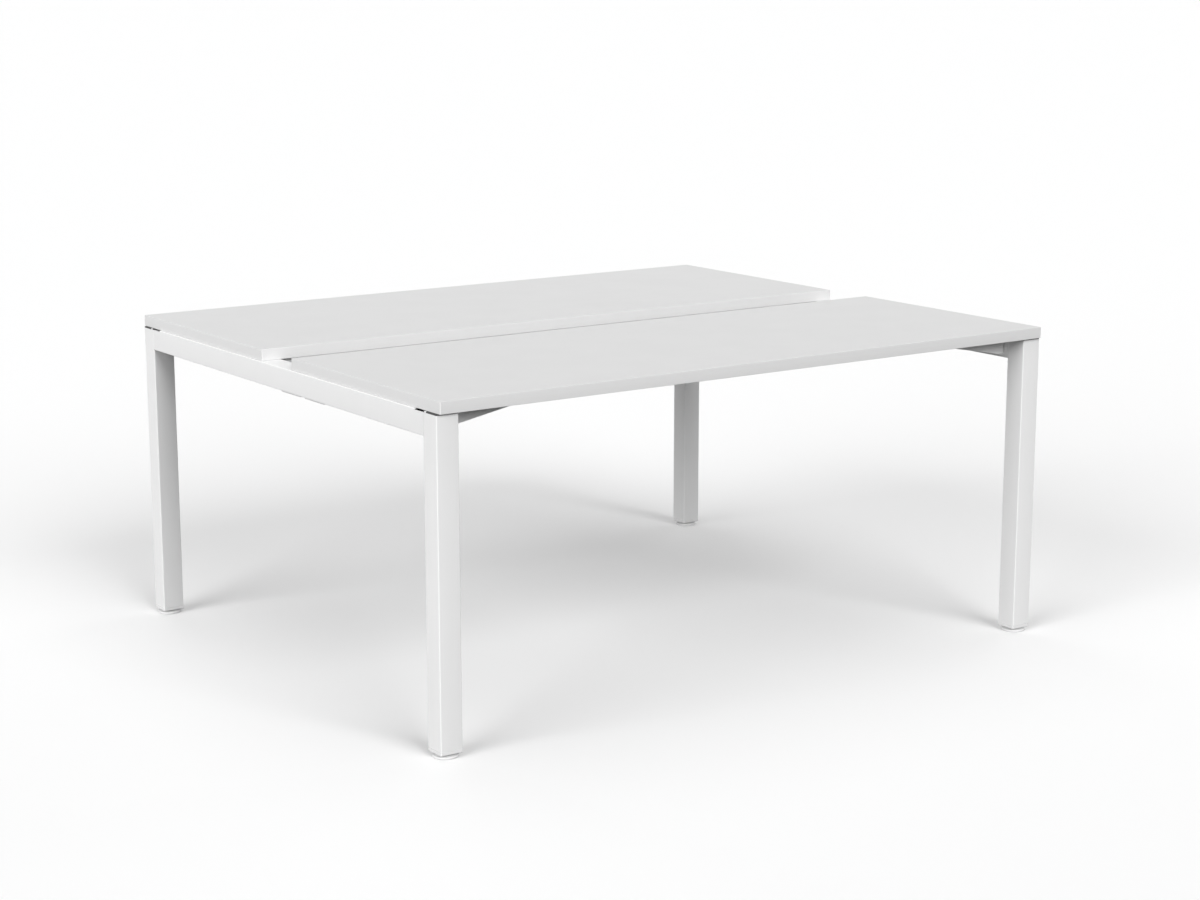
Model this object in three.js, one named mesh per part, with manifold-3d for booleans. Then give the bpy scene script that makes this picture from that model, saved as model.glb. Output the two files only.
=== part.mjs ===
// Benching desk for two people: two worktops with a cable gap between them, on a frame of square
// steel tube. Millimetres, +Z up, +X along the desk, users sit at -Y and at +Y.
// The origin is on the floor, under the middle of the desk.
import * as THREE from "three";
import { mergeVertices } from "three/addons/utils/BufferGeometryUtils.js";
import Module from "manifold-3d";

// Worktops
const deskHeight = 720;
const topLength = 1600;
const topDepth = 604;
const topThickness = 25;
const cableGap = 135;
const edgingThickness = 2;
const edgingRadius = 1;
const topCornerRadius = 2;
const glueLine = 0.1;

// Frame tube, and how the frame lies under the worktops
const tubeSize = 50;
const tubeWall = 2;
const tubeRadius = 2;
const frameProud = 4;
const topOverhang = 8;
const seat = 0.3;
const closeFit = 0.1;

// Joint between a rail and a leg: end plate, nut plate and bolts, with a notch for the key
const endPlate = 5;
const notchLength = 33;
const notchDepth = 3;
const nutPlateThickness = 6;
const nutPlateEdge = 8;
const boltDiameter = 8;
const boltHeadDiameter = 13;
const boltHeadHeight = 8;
const boltKey = 6;
const boltKeyDepth = 4;
const boltPitch = 19;
const boltFloor = 4;
const boltHoleClearance = 0.5;

// Cap in the top of a leg, and the leg's two tongues that pass through it
const capFlange = 2.7;
const capPlugDepth = 9;
const capPlugWall = 2.5;
const tongueWidth = 6.4;
const tongueFromRail = 5.5;

// Levelling foot
const padDiameter = 54;
const padHeight = 6;
const padRim = 1.4;
const collarHeight = 3;
const collarAcrossFlats = 17;
const stemDiameter = 10;
const stemLength = 45;
const stemChamfer = 1;
const pivotNeck = 7.2;
const pivotHead = 8.8;
const pivotLip = 0.8;
const pivotFloor = 2;
const runClearance = 0.2;
const bushDiameter = 15;
const bushFlangeDiameter = 20;
const bushFlange = 2;
const bushLength = 22;
const bushFit = 0.25;
const threadClearance = 0.1;
const insertFlange = 7.6;
const insertBevel = 0.8;
const insertPlugDepth = 28;
const insertWall = 2.5;
const insertBossWall = 3;
const insertRib = 2;
const plugClearance = 0.2;
const finHeight = 1.2;
const finReach = 0.8;
const finCount = 2;

// Tapered support bracket under each worktop corner
const bracketSheet = 2.5;
const bracketBend = 2.5;
const bracketSetback = 10;
const bracketLength = 200;
const bracketRoot = 40;
const bracketTip = 7;
const bracketFlange = 35;
const bracketScrewHole = 6;
const bracketScrewPitch = 70;
const bracketBoltHole = 7;
const bracketBoltPitch = 18;

// Cable troughs beside each other under the gap, and the cleats that tie them to the rails
const troughSheet = 1.5;
const troughBend = 2;
const troughSlit = 17;
const troughUnderTop = 30;
const troughDrop = 76.7;
const troughLip = 45;
const troughFlange = 35;
const troughEndGap = 14;
const cleatSheet = 3;
const cleatBend = 3;
const cleatHeight = 38;
const cleatDrop = 7;
const cleatFoot = 38;
const cleatLap = 50;
const cleatHole = 7;

// How far a cutting tool passes the face it cuts, and one joined form sinks into the other
const overlap = 1;
const leastRadius = 1;

// Facets of round work, and steps of a bend or corner
const padFacets = 28;
const stemFacets = 18;
const bossFacets = 16;
const boltFacets = 12;
const holeFacets = 8;
const bendSteps = 3;

// Levels and places that follow from the sizes above
const underside = deskHeight - topThickness;
const frameTop = underside - seat;
const railBottom = frameTop - tubeSize;
const tubeInner = tubeSize - 2 * tubeWall;
const tubeInnerRadius = Math.max(tubeRadius - tubeWall, leastRadius);
const legX = topLength / 2 + frameProud - tubeSize / 2;
const legY = cableGap / 2 + topDepth - topOverhang - tubeSize / 2;
const railInnerX = legX - tubeSize / 2;
const legTop = frameTop - capFlange - closeFit;
const collarBottom = padHeight + runClearance;
const collarTop = collarBottom + collarHeight;
const insertBottom = collarTop + seat;
const legBottom = insertBottom + insertFlange + closeFit;
const lowBolt = railBottom + tubeWall + boltHeadDiameter / 2 + boltFloor;
const boltLevels = { lower: lowBolt, upper: lowBolt + boltPitch };
const nutPlateY = -tubeInner / 2 + closeFit;

const wasm = await Module();
wasm.setup();

// A closed three.js geometry as a solid that can be joined and cut.
function solidOf(geometry) {
  const bare = geometry.clone();
  bare.deleteAttribute("normal");
  bare.deleteAttribute("uv");
  const merged = mergeVertices(bare, 1e-4);
  return new wasm.Manifold(
    new wasm.Mesh({
      numProp: 3,
      vertProperties: merged.attributes.position.array,
      triVerts: new Uint32Array(merged.index.array),
    }),
  );
}

// A solid back as a three.js geometry.
function geometryOf(solid) {
  const mesh = solid.getMesh();
  const geometry = new THREE.BufferGeometry();
  geometry.setAttribute("position", new THREE.BufferAttribute(mesh.vertProperties, 3));
  geometry.setIndex(new THREE.BufferAttribute(mesh.triVerts, 1));
  geometry.computeVertexNormals();
  return geometry;
}

const joined = (...solids) => solids.reduce((whole, next) => whole.add(next));
const cutBy = (solid, cuts) => cuts.reduce((left, cut) => left.subtract(cut), solid);
const span = (a, b) => [Math.min(a, b), Math.max(a, b)];

// A block between two corners.
function block(x0, x1, y0, y1, z0, z1) {
  const geometry = new THREE.BoxGeometry(x1 - x0, y1 - y0, z1 - z0);
  return solidOf(geometry.translate((x0 + x1) / 2, (y0 + y1) / 2, (z0 + z1) / 2));
}

// A rectangle with round corners, centred on the origin.
function roundedRectangle(width, height, radius) {
  const x = width / 2;
  const y = height / 2;
  const outline = new THREE.Shape();
  outline.moveTo(x, y - radius);
  outline.absarc(x - radius, y - radius, radius, 0, Math.PI / 2);
  outline.absarc(-x + radius, y - radius, radius, Math.PI / 2, Math.PI);
  outline.absarc(-x + radius, -y + radius, radius, Math.PI, 1.5 * Math.PI);
  outline.absarc(x - radius, -y + radius, radius, 1.5 * Math.PI, 2 * Math.PI);
  return outline;
}

// The section of a square tube.
function tubeSection() {
  const section = roundedRectangle(tubeSize, tubeSize, tubeRadius);
  section.holes.push(roundedRectangle(tubeInner, tubeInner, tubeInnerRadius));
  return section;
}

// The section of a folded sheet: its middle line runs through the points, with round bends.
function foldedSheet(points, thickness, bendRadius) {
  const left = [];
  const right = [];
  const put = (point, normal) => {
    left.push(point.clone().addScaledVector(normal, thickness / 2));
    right.push(point.clone().addScaledVector(normal, -thickness / 2));
  };
  const along = points.slice(1).map((point, i) => point.clone().sub(points[i]).normalize());
  const normals = along.map((way) => new THREE.Vector2(-way.y, way.x));
  const middleRadius = bendRadius + thickness / 2;
  put(points[0], normals[0]);
  for (let i = 1; i < points.length - 1; i++) {
    const turn = Math.atan2(along[i - 1].cross(along[i]), along[i - 1].dot(along[i]));
    const side = Math.sign(turn);
    const start = points[i].clone();
    start.addScaledVector(along[i - 1], -middleRadius * Math.tan(Math.abs(turn) / 2));
    const centre = start.clone().addScaledVector(normals[i - 1], side * middleRadius);
    for (let step = 0; step <= bendSteps; step++) {
      const normal = normals[i - 1].clone();
      normal.rotateAround(new THREE.Vector2(), (turn * step) / bendSteps);
      put(centre.clone().addScaledVector(normal, -side * middleRadius), normal);
    }
  }
  put(points[points.length - 1], normals[normals.length - 1]);
  return new THREE.Shape([...left, ...right.reverse()]);
}

// Extrusions: a section drawn in XY carried up, in YZ carried along X, or in XZ carried along Y.
function carriedUp(section, z0, z1, cornerSteps = bendSteps) {
  const options = { depth: z1 - z0, bevelEnabled: false, curveSegments: cornerSteps };
  return new THREE.ExtrudeGeometry(section, options).translate(0, 0, z0);
}

function carriedAlongX(section, x0, x1) {
  const turn = new THREE.Matrix4().makeBasis(
    new THREE.Vector3(0, 1, 0),
    new THREE.Vector3(0, 0, 1),
    new THREE.Vector3(1, 0, 0),
  );
  return carriedUp(section, x0, x1).applyMatrix4(turn);
}

function carriedAlongY(section, y0, y1) {
  return carriedUp(section, -y1, -y0).rotateX(Math.PI / 2);
}

// A slab with rounded arrises, carried up from z0 to z1.
function softSlab(outline, z0, z1, arris, steps) {
  const options = {
    depth: z1 - z0 - 2 * arris,
    bevelEnabled: true,
    bevelThickness: arris,
    bevelSize: arris,
    bevelOffset: -arris,
    bevelSegments: steps,
    curveSegments: bendSteps,
  };
  return new THREE.ExtrudeGeometry(outline, options).translate(0, 0, z0 + arris);
}

// Round work: bars along Z, X and Y, and a turned profile of [radius, height] points.
function barUp(diameter, x, y, z0, z1, facets) {
  const bar = new THREE.CylinderGeometry(diameter / 2, diameter / 2, z1 - z0, facets);
  return solidOf(bar.rotateX(Math.PI / 2).translate(x, y, (z0 + z1) / 2));
}

function barAlongX(diameter, y, z, x0, x1, facets) {
  const bar = new THREE.CylinderGeometry(diameter / 2, diameter / 2, x1 - x0, facets);
  return solidOf(bar.rotateZ(Math.PI / 2).translate((x0 + x1) / 2, y, z));
}

function barAlongY(diameter, x, z, y0, y1, facets) {
  const bar = new THREE.CylinderGeometry(diameter / 2, diameter / 2, y1 - y0, facets);
  return solidOf(bar.translate(x, (y0 + y1) / 2, z));
}

function turned(profile, facets) {
  const points = profile.map(([radius, height]) => new THREE.Vector2(radius, height));
  return solidOf(new THREE.LatheGeometry(points, facets).rotateX(Math.PI / 2));
}

const finish = (color, roughness, metalness) => () =>
  new THREE.MeshStandardMaterial({ color, roughness, metalness });
const melamine = finish(0xdedede, 0.5, 0);
const edgingPlastic = finish(0xdcdcdc, 0.45, 0);
const powderCoat = finish(0xe8e8e8, 0.4, 0);
const blackPlastic = finish(0x1c1c1c, 0.6, 0);
const whitePlastic = finish(0xe4e4e4, 0.45, 0);
const zincSteel = finish(0x9a9c9e, 0.35, 0.9);

function place(group, name, solid, material) {
  const mesh = new THREE.Mesh(geometryOf(solid), material());
  mesh.name = name;
  group.add(mesh);
  return mesh;
}

// Worktop: a faced board inside four edging strips. The long strips cover the ends of the short.
function worktop(name) {
  const group = new THREE.Group();
  const x = topLength / 2;
  const y = topDepth / 2;
  const innerX = x - edgingThickness;
  const innerY = y - edgingThickness;
  const boardX = innerX - glueLine;
  const boardY = innerY - glueLine;
  const outline = roundedRectangle(topLength, topDepth, topCornerRadius);
  const whole = solidOf(softSlab(outline, 0, topThickness, edgingRadius, bendSteps));
  const past = { x: x + overlap, y: y + overlap, z: [-overlap, topThickness + overlap] };
  const ring = whole.subtract(block(-innerX, innerX, -innerY, innerY, ...past.z));
  const strip = (x0, x1, y0, y1) => ring.intersect(block(x0, x1, y0, y1, ...past.z));
  place(group, `worktop_${name}`, block(-boardX, boardX, -boardY, boardY, 0, topThickness), melamine);
  const shortY = innerY - glueLine;
  const strips = {
    near: strip(-past.x, past.x, -past.y, -innerY),
    far: strip(-past.x, past.x, innerY, past.y),
    left: strip(-past.x, -innerX, -shortY, shortY),
    right: strip(innerX, past.x, -shortY, shortY),
  };
  for (const [side, solid] of Object.entries(strips))
    place(group, `edging_${name}_${side}`, solid, edgingPlastic);
  return group;
}

// Tongues on a leg's side walls, which reach up to the worktop. Grown by a clearance and carried
// past the faces, they cut the cap's slots.
function tongues(clearance, past) {
  const y = tongueFromRail - tubeSize / 2;
  return [-1, 1].map((side) =>
    block(
      ...span(side * (tubeInner / 2 - clearance), side * (tubeSize / 2 + past)),
      y - clearance,
      y + tongueWidth + clearance,
      legTop - overlap,
      frameTop + past,
    ),
  );
}

// Leg: square tube with holes for the rail's bolts in the wall that faces along the rail.
function leg() {
  const tube = joined(solidOf(carriedUp(tubeSection(), legBottom, legTop)), ...tongues(0, 0));
  const holes = Object.values(boltLevels).map((level) =>
    barAlongY(
      boltDiameter + 2 * boltHoleClearance,
      0,
      level,
      -tubeSize / 2 - overlap,
      -tubeInner / 2 + overlap,
      boltFacets,
    ),
  );
  return cutBy(tube, holes);
}

// Cap: flange on the tube's end, slotted for the leg's tongues, with a hollow plug that leaves room
// for the nut plate.
function legCap() {
  const flange = solidOf(
    carriedUp(roundedRectangle(tubeSize, tubeSize, tubeRadius), legTop + closeFit, frameTop),
  );
  const x = tubeInner / 2 - plugClearance;
  const far = tubeInner / 2 - plugClearance;
  const near = nutPlateY + nutPlateThickness + seat;
  const bottom = legTop - capPlugDepth;
  const plug = block(-x, x, near, far, bottom, legTop + closeFit + capFlange / 2);
  const hollow = block(
    -x + capPlugWall,
    x - capPlugWall,
    near + capPlugWall,
    far - capPlugWall,
    bottom - overlap,
    legTop + closeFit,
  );
  const round = solidOf(
    carriedUp(roundedRectangle(2 * x, 2 * far, tubeRadius), bottom - overlap, frameTop),
  );
  const whole = joined(flange, plug.intersect(round).subtract(hollow));
  return cutBy(whole, tongues(closeFit, overlap));
}

// Nut plate inside the leg, drawn against the wall by the two bolts.
function nutPlate() {
  const x = tubeInner / 2 - tubeRadius;
  const plate = block(
    -x,
    x,
    nutPlateY,
    nutPlateY + nutPlateThickness,
    boltLevels.lower - nutPlateEdge,
    boltLevels.upper + nutPlateEdge,
  );
  const holes = Object.values(boltLevels).map((level) =>
    barAlongY(
      boltDiameter + 2 * threadClearance,
      0,
      level,
      nutPlateY - overlap,
      nutPlateY + nutPlateThickness + overlap,
      boltFacets,
    ),
  );
  return cutBy(plate, holes);
}

// Socket head bolt along Y: its head lies inside the rail, against the end plate.
function frameBolt(level) {
  const headFace = -tubeSize / 2 - closeFit - endPlate - closeFit;
  const shankEnd = nutPlateY + nutPlateThickness - closeFit;
  const headEnd = headFace - boltHeadHeight;
  const head = barAlongY(boltHeadDiameter, 0, level, headEnd, headFace, boltFacets);
  const shank = barAlongY(boltDiameter, 0, level, headFace - overlap, shankEnd, boltFacets);
  const keyAcross = boltKey / Math.cos(Math.PI / 6);
  const key = barAlongY(keyAcross, 0, level, headEnd - overlap, headEnd + boltKeyDepth, 6);
  return joined(head, shank).subtract(key);
}

// Rail: tube closed by end plates, with its top cut down at each end to let in the bolt key.
function rail() {
  const half = legY - tubeSize / 2 - closeFit;
  const top = tubeSize / 2;
  const past = top + overlap;
  const outer = roundedRectangle(tubeSize, tubeSize, tubeRadius);
  let body = solidOf(carriedAlongY(tubeSection(), -half, half));
  for (const end of [-1, 1]) {
    const face = end * half;
    const inside = end * (half - endPlate);
    const notchEnd = end * (half - notchLength);
    body = body.add(solidOf(carriedAlongY(outer, ...span(face, inside))));
    const notchFloor = top - notchDepth;
    const notch = block(-past, past, ...span(face + end * overlap, notchEnd), notchFloor, past);
    body = body.subtract(notch);
    for (const level of Object.values(boltLevels))
      body = body.subtract(
        barAlongY(
          boltDiameter + 2 * boltHoleClearance,
          0,
          level - railBottom - top,
          ...span(face + end * overlap, inside - end * overlap),
          boltFacets,
        ),
      );
  }
  return body;
}

// Moulded plug in the foot of the leg: flange, finned hollow plug, boss and ribs for the bush.
function footInsert() {
  const flangeTop = insertBottom + insertFlange;
  const plugTop = flangeTop + insertPlugDepth;
  const finSize = tubeInner - 2 * plugClearance;
  const plugSize = finSize - 2 * finReach;
  const cornerRadius = tubeInnerRadius + plugClearance;
  const outline = roundedRectangle(tubeSize, tubeSize, tubeRadius);
  const flange = solidOf(softSlab(outline, insertBottom, flangeTop, insertBevel, 1));
  const bore = plugSize - 2 * insertWall;
  const column = (size, z0, z1) =>
    solidOf(carriedUp(roundedRectangle(size, size, cornerRadius), z0, z1, 1));
  const plug = column(plugSize, flangeTop - overlap, plugTop);
  const hollow = column(bore, flangeTop, plugTop + overlap);
  const finPitch = (insertPlugDepth - finHeight) / finCount;
  const fins = Array.from({ length: finCount }, (_, i) => {
    const level = flangeTop + finPitch * (i + 1);
    return column(finSize, level, level + finHeight);
  });
  const boss = barUp(
    bushDiameter + 2 * insertBossWall,
    0,
    0,
    flangeTop - overlap,
    plugTop,
    bossFacets,
  );
  const reach = bore / 2 + overlap;
  const thin = insertRib / 2;
  const ribs = [
    block(-reach, reach, -thin, thin, flangeTop - overlap, plugTop - finHeight),
    block(-thin, thin, -reach, reach, flangeTop - overlap, plugTop - finHeight),
  ];
  const shell = joined(plug, ...fins).subtract(hollow);
  const cuts = [
    barUp(bushDiameter + 2 * bushFit, 0, 0, insertBottom - overlap, plugTop + overlap, bossFacets),
    barUp(
      bushFlangeDiameter + 2 * bushFit,
      0,
      0,
      insertBottom - overlap,
      insertBottom + bushFlange + closeFit,
      bossFacets,
    ),
  ];
  return cutBy(joined(flange, shell, boss, ...ribs), cuts);
}

// Threaded bush: its flange bears on the plug from below.
function footBush() {
  const bore = stemDiameter / 2 + threadClearance;
  const flangeTop = insertBottom + bushFlange;
  const top = insertBottom + bushLength;
  return turned(
    [
      [bore, insertBottom],
      [bushFlangeDiameter / 2, insertBottom],
      [bushFlangeDiameter / 2, flangeTop],
      [bushDiameter / 2, flangeTop],
      [bushDiameter / 2, top],
      [bore, top],
      [bore, insertBottom],
    ],
    stemFacets,
  );
}

// Stem: screw, spanner collar that stops against the bush, and a pivot head held in the pad.
function footStem() {
  const top = collarTop + stemLength;
  const headTop = padHeight - pivotLip - runClearance;
  const headBottom = pivotFloor + runClearance;
  const screw = turned(
    [
      [0, headBottom],
      [pivotHead / 2, headBottom],
      [pivotHead / 2, headTop],
      [pivotNeck / 2, headTop],
      [pivotNeck / 2, collarBottom + overlap],
      [stemDiameter / 2, collarBottom + overlap],
      [stemDiameter / 2, top - stemChamfer],
      [stemDiameter / 2 - stemChamfer, top],
      [0, top],
    ],
    stemFacets,
  );
  const acrossCorners = collarAcrossFlats / Math.cos(Math.PI / 6);
  return screw.add(barUp(acrossCorners, 0, 0, collarBottom, collarTop, 6));
}

// Pad: round foot with a soft rim, and a snap socket for the stem's pivot head.
function footPad() {
  const radius = padDiameter / 2;
  const mouth = pivotNeck / 2 + runClearance;
  const socket = pivotHead / 2 + runClearance;
  const hub = collarAcrossFlats / 2 + padRim;
  return turned(
    [
      [0, 0],
      [radius - padRim, 0],
      [radius, padRim],
      [radius, padHeight - 2 * padRim],
      [radius - padRim / 2, padHeight - padRim],
      [radius - 2 * padRim, padHeight - padRim / 2],
      [hub, padHeight],
      [mouth, padHeight],
      [mouth, padHeight - pivotLip],
      [socket, padHeight - pivotLip],
      [socket, pivotFloor],
      [0, pivotFloor],
    ],
    padFacets,
  );
}

// Support bracket: tapered web with a top flange under the worktop and an end flange on the rail.
function supportBracket() {
  const root = -tubeSize / 2 - seat;
  const tip = root - bracketLength;
  const face = -tubeSize / 2 - bracketSetback;
  const back = face - bracketFlange;
  const half = bracketSheet / 2;
  const bottom = frameTop - bracketRoot;
  const webAndFlange = foldedSheet(
    [
      new THREE.Vector2(face - half, bottom),
      new THREE.Vector2(face - half, frameTop - half),
      new THREE.Vector2(back, frameTop - half),
    ],
    bracketSheet,
    bracketBend,
  );
  const webAndEnd = foldedSheet(
    [
      new THREE.Vector2(root - bracketFlange, face - half),
      new THREE.Vector2(root - half, face - half),
      new THREE.Vector2(root - half, back),
    ],
    bracketSheet,
    bracketBend,
  );
  const under = new THREE.Shape([
    new THREE.Vector2(root + overlap, bottom - overlap),
    new THREE.Vector2(root - bracketFlange / 2, bottom),
    new THREE.Vector2(tip, frameTop - bracketTip),
    new THREE.Vector2(tip - overlap, frameTop - bracketTip),
    new THREE.Vector2(tip - overlap, bottom - overlap),
  ]);
  const arm = solidOf(carriedAlongX(webAndFlange, tip, root - half));
  const heel = solidOf(carriedUp(webAndEnd, bottom, frameTop - half));
  const wedge = solidOf(carriedAlongY(under, back - overlap, face + overlap));
  const flangeMiddle = face - bracketSheet - (bracketFlange - bracketSheet) / 2;
  const cuts = [wedge];
  for (let i = 0; i < 2; i++) {
    const x = tip + bracketScrewPitch * (i + 0.5);
    cuts.push(barUp(bracketScrewHole, x, flangeMiddle, bottom, frameTop + overlap, holeFacets));
    const z = bottom + bracketRoot / 2 + bracketBoltPitch * (i - 0.5) - half;
    const [inside, outside] = [root - bracketSheet - overlap, root + overlap];
    cuts.push(barAlongX(bracketBoltHole, flangeMiddle, z, inside, outside, holeFacets));
  }
  return cutBy(joined(arm, heel), cuts);
}

// Cable trough: one folded sheet, from a low lip at the slit to a flange under the worktop.
function cableTrough() {
  const half = troughSheet / 2;
  const inner = troughSlit / 2 + half;
  const outer = cableGap / 2 + troughUnderTop - half;
  const floor = frameTop - troughDrop + half;
  const section = foldedSheet(
    [
      new THREE.Vector2(inner, floor - half + troughLip),
      new THREE.Vector2(inner, floor),
      new THREE.Vector2(outer, floor),
      new THREE.Vector2(outer, frameTop - half),
      new THREE.Vector2(outer + half + troughFlange, frameTop - half),
    ],
    troughSheet,
    troughBend,
  );
  const end = railInnerX - troughEndGap;
  return solidOf(carriedAlongX(section, -end, end));
}

// Cleat: an angle from the rail's inner face to the inside of the trough's outer wall.
function troughCleat() {
  const half = cleatSheet / 2;
  const railFace = railInnerX - seat - half;
  const wallFace = cableGap / 2 + troughUnderTop - troughSheet - seat - half;
  const top = frameTop - cleatDrop;
  const bottom = top - cleatHeight;
  const tip = railInnerX - troughEndGap - cleatLap;
  const toe = wallFace + half - cleatFoot;
  const section = foldedSheet(
    [
      new THREE.Vector2(tip, wallFace),
      new THREE.Vector2(railFace, wallFace),
      new THREE.Vector2(railFace, toe),
    ],
    cleatSheet,
    cleatBend,
  );
  const middle = (top + bottom) / 2;
  const cuts = [1, 2].flatMap((i) => {
    const x = tip + (cleatLap * i) / 3;
    const y = toe + ((cleatFoot - cleatSheet) * i) / 3;
    return [
      barAlongY(cleatHole, x, middle, wallFace - cleatSheet, wallFace + cleatSheet, holeFacets),
      barAlongX(cleatHole, y, middle, railFace - cleatSheet, railFace + cleatSheet, holeFacets),
    ];
  });
  return cutBy(solidOf(carriedUp(section, bottom, top)), cuts);
}

const desk = new THREE.Group();
const sides = { front: -1, rear: 1 };
const ends = { left: -1, right: 1 };

for (const [side, sideSign] of Object.entries(sides)) {
  const top = worktop(side);
  top.position.set(0, (sideSign * (cableGap + topDepth)) / 2, underside);
  desk.add(top);

  const trough = place(desk, `cable_trough_${side}`, cableTrough(), powderCoat);
  trough.scale.y = sideSign;
}

for (const [end, endSign] of Object.entries(ends)) {
  const endRail = place(desk, `rail_${end}`, rail(), powderCoat);
  endRail.position.set(endSign * legX, 0, railBottom + tubeSize / 2);

  for (const [side, sideSign] of Object.entries(sides)) {
    const corner = `${side}_${end}`;
    const cleat = place(desk, `trough_cleat_${corner}`, troughCleat(), powderCoat);
    cleat.scale.set(endSign, sideSign, 1);

    // The corner group stands on the leg's axis: +x points past the desk's end, +y to the user.
    const group = new THREE.Group();
    group.position.set(endSign * legX, sideSign * legY, 0);
    group.scale.set(endSign, sideSign, 1);
    desk.add(group);
    place(group, `leg_${corner}`, leg(), powderCoat);
    place(group, `leg_cap_${corner}`, legCap(), blackPlastic);
    place(group, `nut_plate_${corner}`, nutPlate(), zincSteel);
    for (const [name, level] of Object.entries(boltLevels))
      place(group, `frame_bolt_${corner}_${name}`, frameBolt(level), zincSteel);
    place(group, `support_bracket_${corner}`, supportBracket(), powderCoat);
    place(group, `foot_insert_${corner}`, footInsert(), whitePlastic);
    place(group, `foot_bush_${corner}`, footBush(), zincSteel);
    place(group, `foot_stem_${corner}`, footStem(), zincSteel);
    place(group, `foot_pad_${corner}`, footPad(), whitePlastic);
  }
}

export default desk;
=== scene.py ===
import math
import bpy
import numpy as np
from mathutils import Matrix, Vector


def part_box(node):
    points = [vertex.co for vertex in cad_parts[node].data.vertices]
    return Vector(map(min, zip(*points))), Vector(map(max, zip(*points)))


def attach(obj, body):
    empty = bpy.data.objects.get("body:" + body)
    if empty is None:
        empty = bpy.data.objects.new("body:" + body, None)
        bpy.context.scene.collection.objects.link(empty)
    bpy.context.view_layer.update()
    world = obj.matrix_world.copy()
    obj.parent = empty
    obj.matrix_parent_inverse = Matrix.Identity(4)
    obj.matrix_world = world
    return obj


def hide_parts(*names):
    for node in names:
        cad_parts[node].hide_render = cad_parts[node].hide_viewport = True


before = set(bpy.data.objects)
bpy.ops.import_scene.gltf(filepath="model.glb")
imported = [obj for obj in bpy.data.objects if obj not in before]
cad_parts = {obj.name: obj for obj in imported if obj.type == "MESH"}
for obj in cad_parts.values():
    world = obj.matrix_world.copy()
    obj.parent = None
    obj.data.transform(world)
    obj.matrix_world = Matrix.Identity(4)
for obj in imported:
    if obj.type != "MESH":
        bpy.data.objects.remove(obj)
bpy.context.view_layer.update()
scene = bpy.context.scene
mm = 0.001  # pieces are worked out in millimetres and written in metres
sides = {"front": -1, "rear": 1}
ends = {"left": -1, "right": 1}
# signs that turn a piece worked out at the rear right over to each corner
corners = {
    f"{side}_{end}": np.array([endSign, sideSign, 1.0])
    for side, sideSign in sides.items()
    for end, endSign in ends.items()
}
# points round a tube's corner, a sheet's bend, a crown or rim, and a whole turn
fineness = {"corner": 9, "bend": 7, "crown": 7, "turn": 36}


# low and high corner of a CAD node, in millimetres
def nodeBox(node):
    low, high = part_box(node)
    return np.array(low) / mm, np.array(high) / mm


# middle of a box in plan, at a level
def planMiddle(low, high, level=0.0):
    return np.append((low + high)[:2] / 2, level)


# the camera of the photograph: lens and sensor in millimetres, place in metres, turns in degrees
viewpoint = {
    "lens": 70.83, "sensor": 36, "farthest": 500,
    "place": (-3.0794, -4.4595, 1.5572), "down": 11.911, "turn": -34.983,
}
lens = bpy.data.cameras.new("photoCamera")
lens.lens = viewpoint["lens"]
lens.sensor_width = viewpoint["sensor"]
lens.clip_end = viewpoint["farthest"]
eye = bpy.data.objects.new("photoCamera", lens)
eye.location = viewpoint["place"]
eye.rotation_euler = np.radians([90 - viewpoint["down"], 0, viewpoint["turn"]])
scene.collection.objects.link(eye)
scene.camera = eye
scene.view_settings.view_transform = "Standard"
print("camera set")


class Wire:
    # a socket in a node tree: sums on it add Math nodes, and add() makes any other node
    def __init__(self, tree, socket=None):
        self.tree = tree
        self.socket = socket

    def add(self, kind, settings, sockets, output=0):
        node = self.tree.nodes.new("ShaderNode" + kind)
        for name, value in settings.items():
            setattr(node, name, value)
        for name, value in sockets.items():
            if isinstance(value, Wire):
                self.tree.links.new(value.socket, node.inputs[name])
            else:
                node.inputs[name].default_value = value
        return Wire(self.tree, node.outputs[output] if node.outputs else None)

    def maths(self, operation, first, second):
        return self.add("Math", {"operation": operation}, {0: first, 1: second})

    def __add__(self, other):
        return self.maths("ADD", self, other)

    def __sub__(self, other):
        return self.maths("SUBTRACT", self, other)

    def __rsub__(self, other):
        return self.maths("SUBTRACT", other, self)

    def __mul__(self, other):
        return self.maths("MULTIPLY", self, other)

    __radd__ = __add__
    __rmul__ = __mul__


def newFinish(name):
    material = bpy.data.materials.new(name)
    material.use_nodes = True
    material.node_tree.nodes.clear()
    return material, Wire(material.node_tree)


def grey(value, warmth=0.0):
    return (value * (1 + warmth), value, value * (1 - warmth), 1)


# noise on object coordinates, at one scale or three, in waves per metre
def grain(bench, scales, detail, distortion=0.0):
    place = bench.add("TexCoord", {}, {}, "Object")
    spread = bench.add("Mapping", {}, {"Vector": place, "Scale": np.broadcast_to(scales, 3).tolist()})
    sockets = {"Vector": spread, "Scale": 1.0, "Detail": detail, "Distortion": distortion}
    return bench.add("TexNoise", {}, sockets)


# a noise runs about a half, so this adds nothing on the average
def swing(noise, amount):
    return amount * (noise - 0.5)


def blended(bench, share, first, second):
    return bench.add("Mix", {"data_type": "RGBA"}, {0: share, 6: first, 7: second}, 2)


# bumps that follow a height, at the finish's own depth in metres and strength
def embossed(bench, height, finish):
    sockets = {"Strength": finish["strength"], "Distance": finish["depth"], "Height": height}
    return bench.add("Bump", {}, sockets, "Normal")


def finished(material, bench, sockets):
    skin = bench.add("BsdfPrincipled", {}, sockets, "BSDF")
    bench.add("OutputMaterial", {}, {"Surface": skin})
    return material


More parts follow.
